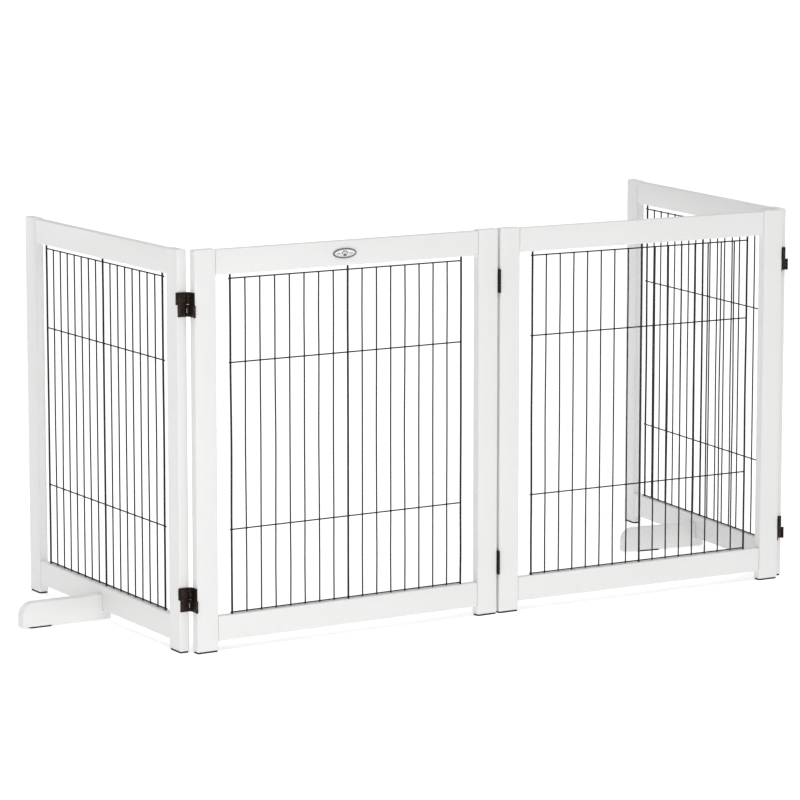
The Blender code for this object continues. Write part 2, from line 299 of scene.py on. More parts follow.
view = {
    "fromCorner": (-2.7031, -4.8032, 1.2530),  # from the foot of panel 2's front left corner
    "tilt": 81.055,
    "turn": -32.518,
    "lens": 169.0,
    "sensor": 36.0,
    "reach": 200,
}


def makeCamera():
    bpy.ops.object.camera_add(
        location=place[2].translation + Vector(view["fromCorner"]),
        rotation=(radians(view["tilt"]), 0, radians(view["turn"])))
    camera = bpy.context.object
    camera.name = "viewpoint"
    camera.data.lens = view["lens"]
    camera.data.sensor_width = view["sensor"]
    camera.data.clip_end = view["reach"]
    scene.camera = camera


studio = {
    "floorSize": 400,
    "floorColour": (0.9, 0.9, 0.9, 1),
    "floorGlow": 0.4,
    "floorRoughness": 0.9,
    "skyStrength": 0.34,
    "backdropStrength": 1.0,
    "sun": {"place": (0, 0, 4), "power": 1.95, "softness": 60, "lean": 14},
    "softboxes": {
        # place, aim, width, height and power
        "front_softbox": ((-1.5, -2.3, 0.5), (0.0, -0.2, 0.25), 1.2, 0.9, 4.0),
        "back_softbox": ((-1.2, 2.4, 0.9), (0.1, 0.1, 0.3), 1.2, 1.0, 5.0),
        "low_front_strip": ((-0.1, -1.9, 0.08), (-0.1, -0.2, 0.08), 1.4, 0.12, 2.0),
        "low_left_softbox": ((-1.9, -1.0, 0.12), (-0.56, 0.0, 0.05), 0.4, 0.14, 3.0),
    },
}


def makeSky():
    # soft light from all round, in front of a plain white backdrop
    sky = bpy.data.worlds.new("soft sky")
    sky.use_nodes = True
    nodes, links = sky.node_tree.nodes, sky.node_tree.links
    light = nodes["Background"]
    backdrop = nodes.new("ShaderNodeBackground")
    for shader, strength in ((light, "skyStrength"), (backdrop, "backdropStrength")):
        shader.inputs["Color"].default_value = (1, 1, 1, 1)
        shader.inputs["Strength"].default_value = studio[strength]
    choice = nodes.new("ShaderNodeMixShader")
    rays = nodes.new("ShaderNodeLightPath")
    links.new(rays.outputs["Is Camera Ray"], choice.inputs["Fac"])
    links.new(light.outputs["Background"], choice.inputs[1])
    links.new(backdrop.outputs["Background"], choice.inputs[2])
    links.new(choice.outputs["Shader"], nodes["World Output"].inputs["Surface"])
    scene.world = sky


def makeSun(settings):
    # a wide soft light from above and a little in front
    bpy.ops.object.light_add(type="SUN", location=settings["place"])
    sun = bpy.context.object
    sun.name = "wide_sun"
    sun.data.energy = settings["power"]
    sun.data.angle = radians(settings["softness"])
    sun.rotation_euler = (radians(settings["lean"]), 0, 0)


def makeSoftbox(name, spot, aim, width, height, power):
    bpy.ops.object.light_add(type="AREA", location=spot)
    lamp = bpy.context.object
    lamp.name = name
    lamp.data.shape = "RECTANGLE"
    lamp.data.size = width
    lamp.data.size_y = height
    lamp.data.energy = power
    lamp.rotation_euler = (Vector(aim) - Vector(spot)).to_track_quat("-Z", "Y").to_euler()
    lamp.visible_camera = False


def makeStudio():
    # a faintly glowing floor, which leaves hardly a shadow
    bpy.ops.object.select_all(action="DESELECT")
    bpy.ops.mesh.primitive_plane_add(size=studio["floorSize"], location=(0, 0, 0))
    floor = bpy.context.object
    floor.name = "studio_floor"
    finish = Finish("pale floor")
    floor.data.materials.append(finish.shade(
        Base_Color=studio["floorColour"], Roughness=studio["floorRoughness"],
        Emission_Color=studio["floorColour"], Emission_Strength=studio["floorGlow"]))
    makeSky()
    makeSun(studio["sun"])
    for name, settings in studio["softboxes"].items():
        makeSoftbox(name, *settings)
    scene.view_settings.view_transform = "Standard"


makeCamera()
makeStudio()
print("camera and studio ready")


paint = {
    "colour": (0.775, 0.775, 0.77),
    "shaded": (0.735, 0.735, 0.728),
    "sheen": (0.34, 0.46),
    "gloss": 0.45,
    # patterns per metre, then the relief's strength and depth
    "grain": 420,
    "alongGrain": 0.03,
    "peel": 640,
    "clouds": 7,
    "relief": (0.22, 0.12 * mm),
}


def whitePaint(name, turn=0.0, upright=True):
    # satin paint over a primed board: faint grain along the board, fine orange peel, soft clouding
    finish = Finish(name)
    along = (1, 1, paint["alongGrain"]) if upright else (paint["alongGrain"], 1, 1)
    grain = finish.noise(finish.onObject(-turn, along), paint["grain"], 3.0, 0.6)
    peel = finish.noise(finish.onObject(), paint["peel"], 2.0)
    clouds = finish.noise(finish.onObject(), paint["clouds"], 3.0)
    tone = finish.between(clouds * 0.7 + grain * 0.3, paint["shaded"], paint["colour"])
    low, high = paint["sheen"]
    finish.relief(grain * 0.5 + peel * 0.5, *paint["relief"])
    return finish.shade(Base_Color=tone, Roughness=clouds * (high - low) + low,
                        Specular_IOR_Level=paint["gloss"])


coat = {
    "colour": (0.008, 0.008, 0.009),
    "dusty": (0.016, 0.016, 0.017),
    "gloss": 0.22,
    "pebbles": 2600,
    "clouds": 60,
    "relief": (0.35, 0.05 * mm),
}


def blackCoat():
    # powder coat on wire: fine pebbled skin
    finish = Finish("black powder coat")
    pebbles = finish.noise(finish.onObject(), coat["pebbles"], 2.0)
    clouds = finish.noise(finish.onObject(), coat["clouds"], 3.0)
    tone = finish.between(clouds, coat["colour"], coat["dusty"])
    finish.relief(pebbles, *coat["relief"])
    return finish.shade(Base_Color=tone, Roughness=0.42 + 0.16 * pebbles,
                        Specular_IOR_Level=coat["gloss"])


bronze = {
    "colour": (0.020, 0.013, 0.010),
    "rubbed": (0.085, 0.050, 0.036),
    "metal": 0.75,
    "patches": 240,
    "specks": 1900,
    "wear": (0.60, 0.10),
    "relief": (0.18, 0.03 * mm),
}


def darkBronze():
    # dark plated hinge metal, rubbed a little brown in patches
    finish = Finish("dark bronze")
    patches = finish.noise(finish.onObject(), bronze["patches"], 4.0, 0.6)
    specks = finish.noise(finish.onObject(), bronze["specks"], 2.0)
    worn = (patches * 0.75 + specks * 0.25).above(*bronze["wear"])
    tone = finish.between(worn, bronze["colour"], bronze["rubbed"])
    finish.relief(specks, *bronze["relief"])
    return finish.shade(Base_Color=tone, Metallic=bronze["metal"], Roughness=0.46 - 0.12 * worn)


rubber = {
    "colour": (0.009, 0.009, 0.009),
    "dusty": (0.028, 0.027, 0.026),
    "stipple": 1700,
    "dust": 110,
    "dustEdge": (0.58, 0.12),
    "relief": (0.4, 0.08 * mm),
}


def blackRubber():
    # moulded pad, matt with a fine stipple and a little dust
    finish = Finish("black rubber")
    stipple = finish.noise(finish.onObject(), rubber["stipple"], 2.0)
    dust = finish.noise(finish.onObject(), rubber["dust"], 4.0).above(*rubber["dustEdge"])
    tone = finish.between(dust, rubber["colour"], rubber["dusty"])
    finish.relief(stipple, *rubber["relief"])
    return finish.shade(Base_Color=tone, Roughness=0.72 + 0.2 * stipple)


plateMetal = {
    "colour": (0.86, 0.86, 0.86),
    "shaded": (0.62, 0.62, 0.63),
    "metal": 0.55,
    "strokes": 5200,
    "alongStroke": 0.04,
    "clouds": 130,
    "relief": (0.25, 0.02 * mm),
}


def brushedPlate():
    # badge face, brushed from left to right
    finish = Finish("brushed badge metal")
    spot = finish.onObject(0, (plateMetal["alongStroke"], 1, 1))
    strokes = finish.noise(spot, plateMetal["strokes"], 3.0, 0.7)
    clouds = finish.noise(finish.onObject(), plateMetal["clouds"], 2.0)
    tone = finish.between(strokes * 0.6 + clouds * 0.4, plateMetal["shaded"], plateMetal["colour"])
    finish.relief(strokes, *plateMetal["relief"])
    return finish.shade(Base_Color=tone, Metallic=plateMetal["metal"],
                        Roughness=0.26 + 0.2 * strokes)


enamel = {
    "colour": (0.085, 0.085, 0.086),
    "pitted": (0.17, 0.17, 0.17),
    "pits": 3200,
    "relief": (0.15, 0.02 * mm),
}


def darkEnamel():
    # the badge's rim, groove and paw, finely pitted
    finish = Finish("dark enamel")
    pits = finish.noise(finish.onObject(), enamel["pits"], 2.0)
    tone = finish.between(pits, enamel["colour"], enamel["pitted"])
    finish.relief(pits, *enamel["relief"])
    return finish.shade(Base_Color=tone, Roughness=0.25 + 0.12 * pits)


zinc = {
    "colour": (0.66, 0.67, 0.68),
    "shaded": (0.46, 0.47, 0.49),
    "spangle": 900,
    "relief": (0.12, 0.02 * mm),
}


def zincSteel():
    # foot screws: bright zinc, faintly mottled
    finish = Finish("zinc screw steel")
    spangle = finish.noise(finish.onObject(), zinc["spangle"], 3.0)
    tone = finish.between(spangle, zinc["shaded"], zinc["colour"])
    finish.relief(spangle, *zinc["relief"])
    return finish.shade(Base_Color=tone, Metallic=1.0, Roughness=0.28 + 0.2 * spangle)


uprightPaint = whitePaint("white paint uprights")
railPaint = {number: whitePaint(f"white paint rails {number}", place[number].to_euler().z, False)
             for number in place}
footPaint = {number: whitePaint(f"white paint foot {number}",
                                place[number].to_euler().z + pi / 2, False)
             for number in (1, 4)}
wireCoat = blackCoat()
hingeMetal = darkBronze()
padRubber = blackRubber()
badgeFace = brushedPlate()
badgeLine = darkEnamel()
screwMetal = zincSteel()
print("finishes mixed:", len(bpy.data.materials))


leafLow, leafHigh = boxInPanel("hinge_23_upper_left_leaf", 2)
hinge = {
    # its own coordinates: x from the middle of the gap, y from the front face, z from mid height
    # barrel, pin and pinHole are radii
    "gap": 4.2 * mm,
    "plate": 1.0 * mm,
    "air": 0.3 * mm,
    "height": leafHigh.z - leafLow.z,
    "barrel": 2.0 * mm,
    "barrelSides": 32,
    "pin": 1.0 * mm,
    "pinHole": 1.25 * mm,
    "pinSides": 20,
    "pinStandsOut": 0.01 * mm,
    "pivotOut": 1.4 * mm,
    "inset": 0.6 * mm,
    "lap": 1.0 * mm,
    "webInset": 0.1 * mm,
    "softEdge": 0.18 * mm,
    "softBarrel": 0.27 * mm,
    # a pin's head, from the end of the pin: rise in mm and width against the ring before
    "pinHead": ((0.02, 1.35), (0.28, 1.0), (0.18, 0.72), (0.06, 0.4)),
}
hingeScrew = {
    # head and shank are radii, and each room is what a hole adds to one of them
    "spread": 11.5 * mm,
    "sides": 28,
    "head": 2.7 * mm,
    "headRim": 0.1 * mm,
    "headRoom": 0.5 * mm,
    "shank": 1.25 * mm,
    "shankRoom": 0.15 * mm,
    "holeLonger": 0.6 * mm,
    "pilotRoom": 0.2 * mm,
    "pilotDepth": 15 * mm,
    "pilotSides": 16,
    "proud": 0.06 * mm,
    "cone": 0.85,
    # one turn of the thread, and the point: length in mm and width against the ring before
    "turn": ((0.5, 1.0), (0.35, 0.78), (0.35, 1 / 0.78)),
    "turns": 9,
    "point": (1.6, 0.08),
    # half length, half width and depth
    "slot": (1.35 * mm, 0.3 * mm, 0.45 * mm),
}
hinge["levels"] = {
    level: sum(corner.z for corner in boxInPanel(f"hinge_23_{level}_left_leaf", 2)) / 2
    for level in ("upper", "lower")
}
# about the line from front to back, which makes a left leaf a right one
turnedOver = Matrix.Rotation(pi, 4, "Y")


def knuckleSpans():
    # leaf, link, leaf in the upper half of the hinge
    air = hinge["air"]
    share = (hinge["height"] / 2 - 4 * air) / 3
    return [(air + i * (share + air), air + i * (share + air) + share) for i in range(3)]


def makeBarrel(name, y, bottom, top):
    barrel = addCylinder(name, (0, y, bottom), hinge["barrel"], top - bottom, hinge["barrelSides"])
    roundEdges(barrel, hinge["softBarrel"], 2, lambda middle, way: abs(way.z) < 0.5)
    return barrel


def makePin(y, low, high, outerEnd):
    # a pin with a low domed head at its outer end
    pin = addCylinder("pin", (0, y, low), hinge["pin"], high - low, hinge["pinSides"])
    top = high if outerEnd > 0 else low
    pick(pin, "FACE", lambda middle, normal: normal.z * outerEnd > 0.9)
    for rise, width in hinge["pinHead"]:
        bpy.ops.mesh.extrude_region_move(
            TRANSFORM_OT_translate={"value": (0, 0, rise * mm * outerEnd)})
        bpy.ops.transform.resize(value=(width, width, 1), center_override=(0, y, top))
    leave()
    return pin


def screwHeights():
    return hingeScrew["spread"], -hingeScrew["spread"]


def makeLeaf():
    # plate on the edge of the left panel: front knuckles above, back knuckles below
    # the links' plates lie in the middle of the gap, with a leaf's plate on either side
    plateX = -1.5 * hinge["plate"] - hinge["air"]
    half = hinge["height"] / 2
    inset = hinge["inset"]
    leaf = addBox("leaf", (plateX, inset, -half),
                  (plateX + hinge["plate"], panel["depth"] - inset, half))
    roundEdges(leaf, hinge["softEdge"], 2)
    spans = knuckleSpans()
    for front, y, way in ((True, -hinge["pivotOut"], 1),
                          (False, panel["depth"] + hinge["pivotOut"], -1)):
        for start, end in (spans[0], spans[2]):
            low, high = sorted((start * way, end * way))
            inner = inset + hinge["lap"] if front else panel["depth"] - inset - hinge["lap"]
            web = addBox("web", (plateX, min(y, inner), low + hinge["webInset"]),
                         (plateX + hinge["plate"], max(y, inner), high - hinge["webInset"]))
            combine(leaf, [web, makeBarrel("knuckle", y, low, high)], "UNION")
        low, high = sorted((spans[0][0] * way, spans[2][1] * way))
        pinLow = low + hinge["lap"] if way > 0 else low - hinge["pinStandsOut"]
        pinHigh = high + hinge["pinStandsOut"] if way > 0 else high - hinge["lap"]
        combine(leaf, [makePin(y, pinLow, pinHigh, way)], "UNION")
    # countersunk screw holes
    for z in screwHeights():
        bpy.ops.object.select_all(action="DESELECT")
        bpy.ops.mesh.primitive_cone_add(
            vertices=hingeScrew["sides"],
            radius1=hingeScrew["shank"] + hingeScrew["shankRoom"],
            radius2=hingeScrew["head"] + hingeScrew["headRoom"],
            depth=hinge["plate"] + hingeScrew["holeLonger"],
            location=(plateX + hinge["plate"] / 2, panel["depth"] / 2, z), rotation=(0, pi / 2, 0))
        combine(leaf, [bakePlace(bpy.context.object)], "DIFFERENCE")
    return softShade(coverWith(leaf, hingeMetal), 30)


def makeLink():
    # plate from the front pin of one leaf to the back pin of the other, in the upper half
    spans = knuckleSpans()
    start, end = spans[1]
    clear = hinge["barrel"] - hinge["pivotOut"] + hinge["air"]
    link = addBox("link", (-hinge["plate"] / 2, clear, spans[0][0]),
                  (hinge["plate"] / 2, panel["depth"] - clear, spans[2][1]))
    roundEdges(link, hinge["softEdge"], 2)
    frontY, backY = -hinge["pivotOut"], panel["depth"] + hinge["pivotOut"]
    for y, inner in ((frontY, hinge["barrel"]), (backY, panel["depth"] - hinge["barrel"])):
        web = addBox("web", (-hinge["plate"] / 2, min(y, inner), start + hinge["webInset"]),
                     (hinge["plate"] / 2, max(y, inner), end - hinge["webInset"]))
        combine(link, [web, makeBarrel("knuckle", y, start, end)], "UNION")
    for y in (frontY, backY):
        bore = addCylinder("bore", (0, y, start - mm), hinge["pinHole"], end - start + 2 * mm,
                           hinge["pinSides"])
        combine(link, [bore], "DIFFERENCE")
    return softShade(coverWith(link, hingeMetal), 30)


def makeHingeScrew():
    # countersunk, driven towards -x from the face of the left leaf
    face = -0.5 * hinge["plate"] - hinge["air"] - hingeScrew["proud"]
    bpy.ops.object.select_all(action="DESELECT")
    bpy.ops.mesh.primitive_cylinder_add(
        vertices=hingeScrew["sides"], radius=hingeScrew["head"], depth=hingeScrew["headRim"],
        end_fill_type="NGON", location=(face - hingeScrew["headRim"] / 2, 0, 0),
        rotation=(0, pi / 2, 0))
    screw = bakePlace(bpy.context.object)
    cone = (hingeScrew["cone"], hingeScrew["shank"] / hingeScrew["head"])
    pick(screw, "FACE", lambda middle, normal: normal.x < -0.9)
    for length, width in (cone, *hingeScrew["turn"] * hingeScrew["turns"], hingeScrew["point"]):
        bpy.ops.mesh.extrude_region_move(TRANSFORM_OT_translate={"value": (-length * mm, 0, 0)})
        bpy.ops.transform.resize(value=(1, width, width), center_override=(0, 0, 0))
    leave()
    long, thin, deep = hingeScrew["slot"]
    slots = [addBox("slot", (face - deep, -w, -h), (face + deep, w, h))
             for w, h in ((long, thin), (thin, long))]
    combine(screw, slots, "DIFFERENCE")
    return softShade(coverWith(screw, hingeMetal), 30)


leafPattern = makeLeaf()
linkPattern = makeLink()
screwPattern = makeHingeScrew()


def hingePlace(side, level):
    # a hinge's coordinates in those of the panel to its left or its right
    x = panel["width"] + hinge["gap"] / 2 if side == "left" else -hinge["gap"] / 2
    return Matrix.Translation((x, 0, hinge["levels"][level]))


def makeHinge(left, right, level, foldsBack):
    name = f"hinge_{left}{right}_{level}"
    onLeft, onRight = hingePlace("left", level), hingePlace("right", level)
    leaves = ((left, "left_leaf", onLeft), (right, "right_leaf", onRight @ turnedOver))
    for number, node, where in leaves:
        piece = copyOf(leafPattern, f"{name}_{node}_fine", where)
        install(piece, number, f"{name}_{node}")
        for i, z in enumerate(screwHeights()):
            spot = where @ Matrix.Translation((0, panel["depth"] / 2, z))
            screw = copyOf(screwPattern, f"{name}_{node}_screw_{i + 1}", spot)
            install(screw, number)
    if foldsBack:
        links = ((left, "top_link", onLeft), (right, "bottom_link", onRight @ turnedOver))
    else:
        links = ((right, "top_link", onRight), (left, "bottom_link", onLeft @ turnedOver))
    for number, node, where in links:
        piece = copyOf(linkPattern, f"{name}_{node}_fine", where)
        install(piece, number, f"{name}_{node}")


for left, right, foldsBack in ((1, 2, True), (2, 3, False), (3, 4, True)):
    for level in hinge["levels"]:
        makeHinge(left, right, level, foldsBack)
discard(leafPattern, linkPattern, screwPattern)
print("hinges made")


bottomRail = boxInPanel("panel_2_bottom_rail", 2)
topRail = boxInPanel("panel_2_top_rail", 2)
rail = {
    "tenon": Vector((12, 6, 24)) * mm,
    "air": 0.3 * mm,
    "arris": 1.6 * mm,
    "arrisSteps": 4,
    "rodHole": 1.95 * mm,
    "rodHoleDepth": 10 * mm,
    "rodHoleSides": 20,
}


def tenonBar(low, high, spare):
    # the bar that runs through a rail and stands out at both ends as its tenons
    reach, thick, tall = rail["tenon"]
    left = stile["size"].x - reach - spare
    right = panel["width"] - stile["size"].x + reach + spare
    y, z = panel["depth"] / 2, (low + high) / 2
    return addBox("tenons", (left, y - thick / 2 - spare, z - tall / 2 - spare),
                  (right, y + thick / 2 + spare, z + tall / 2 + spare))


def makeStilePattern():
    post = addBox("post", (0, 0, stile["base"]), (stile["size"].x, panel["depth"], panel["height"]))
    roundEdges(post, stile["arris"], stile["arrisSteps"])
    mortises = [tenonBar(low.z, high.z, rail["air"]) for low, high in (bottomRail, topRail)]
    combine(post, mortises, "DIFFERENCE")
    return coverWith(post, uprightPaint)


def drillForHinges(post):
    # pilot holes in the outer edge, a little wider than the screws
    for z in hinge["levels"].values():
        for spread in screwHeights():
            bpy.ops.object.select_all(action="DESELECT")
            bpy.ops.mesh.primitive_cylinder_add(
                vertices=hingeScrew["pilotSides"], depth=2 * hingeScrew["pilotDepth"],
                radius=hingeScrew["shank"] + hingeScrew["pilotRoom"],
                location=(0, panel["depth"] / 2, z + spread), rotation=(0, pi / 2, 0))
            combine(post, [bakePlace(bpy.context.object)], "DIFFERENCE")
    return post


def makeStiles():
    plain = makeStilePattern()
    drilled = drillForHinges(copyOf(plain, "drilled"))
    for pattern in (plain, drilled):
        softShade(pattern, 40)
    for number in place:
        for side in ("left", "right"):
            outer = (number, side) in ((1, "left"), (4, "right"))
            turn = halfTurn if side == "right" else Matrix.Identity(4)
            node = f"panel_{number}_{side}_stile"
            post = copyOf(plain if outer else drilled, f"{node}_fine", turn)
            install(post, number, node)
    discard(plain, drilled)


makeStiles()
print("stiles made")


padShape = {
    "stileCorner": 2.4 * mm,
    "footCorner": 3 * mm,
    "cornerSteps": 5,
    # rims: side, width and steps
    "rims": ((-1, 0.35 * mm, 3), (1, 0.2 * mm, 2)),
}


def roundedPad(name, low, high, corner):
    # a moulded slab with round corners and a softer lower rim
    pad = addBox(name, low, high)
    roundEdges(pad, corner, padShape["cornerSteps"], lambda middle, way: abs(way.z) > 0.9)
    for side, width, steps in padShape["rims"]:
        pick(pad, "FACE", lambda middle, normal: normal.z * side > 0.9)
        bpy.ops.mesh.bevel(offset=width, segments=steps, affect="EDGES")
        leave()
    return softShade(coverWith(pad, padRubber), 40)


def makePads():
    for number in place:
        for side in ("left", "right"):
            node = f"panel_{number}_{side}_stile_pad"
            pad = roundedPad(f"{node}_fine", *boxInPanel(node, number), padShape["stileCorner"])
            install(pad, number, node)
    for number in (1, 4):
        node = f"panel_{number}_foot_pad"
        pad = roundedPad(f"{node}_fine", *boxInPanel(node, number), padShape["footCorner"])
        install(pad, number, node)


makePads()
print("pads made")

grid = {
    "wires": 17,
    "thickOnes": (0, 8, 16),
    "margin": 64 * mm,
    "bottom": 56.2 * mm,
    "top": 563.3 * mm,
    "levels": (0, 0.25, 0.75, 1),
    # radii
    "thin": 1.15 * mm,
    "thick": 1.6 * mm,
    "cross": 1.1 * mm,
    # how far the wires reach past the last crossing or into a rail
    "thinEnd": 1.3 * mm,
    "crossEnd": 1.9 * mm,
    "inRail": 9 * mm,
    # how deep two crossing wires are welded into each other
    "sink": 0.4 * mm,
    "bow": {"x": 0.8 * mm, "y": 0.35 * mm},
    "chance": 17,
    "sides": 12,
    "softEnd": 0.45,
    "cuts": 31,
    "bead": {"sides": 12, "radius": 1.4 * mm, "depth": 1.1 * mm, "softRim": 0.42 * mm},
}


def wireX(i):
    return grid["margin"] + i * (panel["width"] - 2 * grid["margin"]) / (grid["wires"] - 1)


def makeRailPattern():
    low, high = bottomRail
    start = stile["size"].x + rail["air"]
    board = addBox("board", (start, low.y, low.z), (panel["width"] - start, high.y, high.z))
    roundEdges(board, rail["arris"], rail["arrisSteps"])
    combine(board, [tenonBar(low.z, high.z, 0)], "UNION")
    for i in grid["thickOnes"]:
        hole = addCylinder("hole", (wireX(i), panel["depth"] / 2, high.z - rail["rodHoleDepth"]),
                           rail["rodHole"], 2 * rail["rodHoleDepth"], rail["rodHoleSides"])
        combine(board, [hole], "DIFFERENCE")
    return board


screwLow, screwHigh = boxInPanel("panel_1_foot_screw", 1)
footScrew = {
    "x": (screwLow.x + screwHigh.x) / 2,
    "y": (screwLow.y + screwHigh.y) / 2,
    "bottom": screwLow.z,
    "length": screwHigh.z - screwLow.z,
    "head": (screwHigh.x - screwLow.x) / 2,
    "headHeight": 2.4 * mm,
    "headRim": 0.2 * mm,
    "headSides": 32,
    "shank": 1.8 * mm,
    "room": 0.3 * mm,
    "holeSides": 20,
    # share of the straight length that has no thread
    "neck": 0.3,
    "ridges": 12,
    # one ridge of the thread: share of its step and width against the ring before
    "ridge": ((0.3, 0.74), (0.2, 1.0), (0.3, 1 / 0.74), (0.2, 1.0)),
    "point": 0.08,
    # half length, half width and depth
    "slot": (1.9 * mm, 0.45 * mm, 1.1 * mm),
}


def makeRails():
    pattern = makeRailPattern()
    middle = (bottomRail[0].z + topRail[1].z) / 2
    over = (Matrix.Translation((0, panel["depth"] / 2, middle)) @ Matrix.Rotation(pi, 4, "X")
            @ Matrix.Translation((0, -panel["depth"] / 2, -middle)))
    for number in place:
        for level, turn in (("bottom", Matrix.Identity(4)), ("top", over)):
            node = f"panel_{number}_{level}_rail"
            board = copyOf(pattern, f"{node}_fine", turn)
            if level == "bottom" and number in (1, 4):
                hole = addCylinder(
                    "pilot", (footScrew["x"], footScrew["y"], 0),
                    footScrew["shank"] + footScrew["room"],
                    footScrew["bottom"] + footScrew["length"] + footScrew["room"],
                    footScrew["holeSides"])
                combine(board, [hole], "DIFFERENCE")
            softShade(coverWith(board, railPaint[number]), 40)
            install(board, number, node)
    discard(pattern)


makeRails()
print("rails made")


foot = {
    "tip": 22 * mm,
    "tipSteps": 12,
    "arris": 1.6 * mm,
    "arrisSteps": 3,
    "railRoom": 0.3 * mm,
}


def footScrewSolid(name, spare):
    # head down; with some spare all round it is the cutter of its own hole
    bottom = footScrew["bottom"] - spare
    head, shank = footScrew["head"] + spare, footScrew["shank"] + spare
    screw = addCylinder(name, (footScrew["x"], footScrew["y"], bottom), head,
                        footScrew["headRim"] + spare, footScrew["headSides"])
    straight = footScrew["length"] - footScrew["headHeight"] - 2 * footScrew["shank"]
    rings = [(footScrew["headHeight"] - footScrew["headRim"], shank / head)]
    if spare:
        rings.append((straight + spare, 1.0))
    else:
        # smooth neck, then the ridges of the thread
        step = straight * (1 - footScrew["neck"]) / footScrew["ridges"]
        ridge = [(step * share, width) for share, width in footScrew["ridge"]]
        rings += [(straight * footScrew["neck"], 1.0), *ridge * footScrew["ridges"]]
    rings.append((2 * footScrew["shank"], footScrew["point"]))
    pick(screw, "FACE", lambda middle, normal: normal.z > 0.9)
    for rise, width in rings:
        bpy.ops.mesh.extrude_region_move(TRANSFORM_OT_translate={"value": (0, 0, rise)})
        bpy.ops.transform.resize(
            value=(width, width, 1), center_override=(footScrew["x"], footScrew["y"], 0))
    leave()
    return screw


def makeFootPattern():
    # rounded over at its tip, notched to take the rail
    low, high = boxInPanel("panel_1_foot", 1)
    middleX, halfWidth = (low.x + high.x) / 2, (high.x - low.x) / 2
    board = addBox("board", low, high)
    roundEdges(board, foot["tip"], foot["tipSteps"],
               lambda middle, way: middle.y < low.y + mm and middle.z > high.z - mm)
    roundEdges(board, foot["arris"], foot["arrisSteps"],
               lambda middle, way: abs(middle.x - middleX) > halfWidth - 0.1 * mm)
    railLow = bottomRail[0]
    notch = addBox("notch", (low.x - mm, railLow.y - foot["railRoom"], railLow.z - foot["railRoom"]),
                   (high.x + mm, high.y + 10 * mm, high.z + 10 * mm))
    combine(board, [notch, footScrewSolid("hole", footScrew["room"])], "DIFFERENCE")
    return board


def makeFootScrewPattern():
    # with a cross slot in its head
    screw = footScrewSolid("screw", 0)
    long, thin, deep = footScrew["slot"]
    x, y, z = footScrew["x"], footScrew["y"], footScrew["bottom"]
    slots = [addBox("slot", (x - w, y - h, z - mm), (x + w, y + h, z + deep))
             for w, h in ((long, thin), (thin, long))]
    combine(screw, slots, "DIFFERENCE")
    return softShade(coverWith(screw, screwMetal), 30)


def makeFeet():
    board, screw = makeFootPattern(), makeFootScrewPattern()
    for number, turn in ((1, Matrix.Identity(4)), (4, halfTurn)):
        piece = copyOf(board, f"panel_{number}_foot_fine", turn)
        softShade(coverWith(piece, footPaint[number]), 40)
        install(piece, number, f"panel_{number}_foot")
        piece = copyOf(screw, f"panel_{number}_foot_screw_fine", turn)
        install(piece, number, f"panel_{number}_foot_screw")
    discard(board, screw)


makeFeet()
print("feet made")


def straightWire(name, radius, low, high):
    # an upright round bar with soft ends and rings along it
    wire = addCylinder(name, (0, 0, low), radius, high - low, grid["sides"])
    roundEdges(wire, radius * grid["softEnd"], 2, lambda middle, way: abs(way.z) < 0.5)
    pick(wire, "EDGE", lambda middle, way: abs(way.z) > 0.9)
    bpy.ops.mesh.subdivide(number_cuts=grid["cuts"])
    leave()
    return wire


def bowWire(wire, spans, chance):
    # each free span is pulled a little off line, the longer the span the further
    heights = sorted({round(vertex.co.z, 5) for vertex in wire.data.vertices})
    for low, high in spans:
        middle = min(heights, key=lambda z: abs(z - (low + high) / 2))
        share = (high - low) / (grid["top"] - grid["bottom"]) * 2
        pull = (chance.uniform(-1, 1) * grid["bow"]["x"] * share,
                chance.uniform(-1, 1) * grid["bow"]["y"] * share, 0)
        pick(wire, "EDGE", lambda spot, way: abs(spot.z - middle) < 0.1 * mm and abs(way.z) < 0.5)
        bpy.ops.transform.translate(
            value=pull, use_proportional_edit=True, use_proportional_connected=True,
            proportional_edit_falloff="SMOOTH", proportional_size=(high - low) / 2)
        leave()


def makeBead():
    # the metal squeezed out where two crossing wires are welded: a small round collar
    shape = grid["bead"]
    bpy.ops.object.select_all(action="DESELECT")
    bpy.ops.mesh.primitive_cylinder_add(
        vertices=shape["sides"], radius=shape["radius"], depth=shape["depth"],
        rotation=(pi / 2, 0, 0), end_fill_type="NGON")
    bead = bakePlace(bpy.context.object)
    roundEdges(bead, shape["softRim"], 2, lambda middle, way: abs(way.y) < 0.5)
    return bead


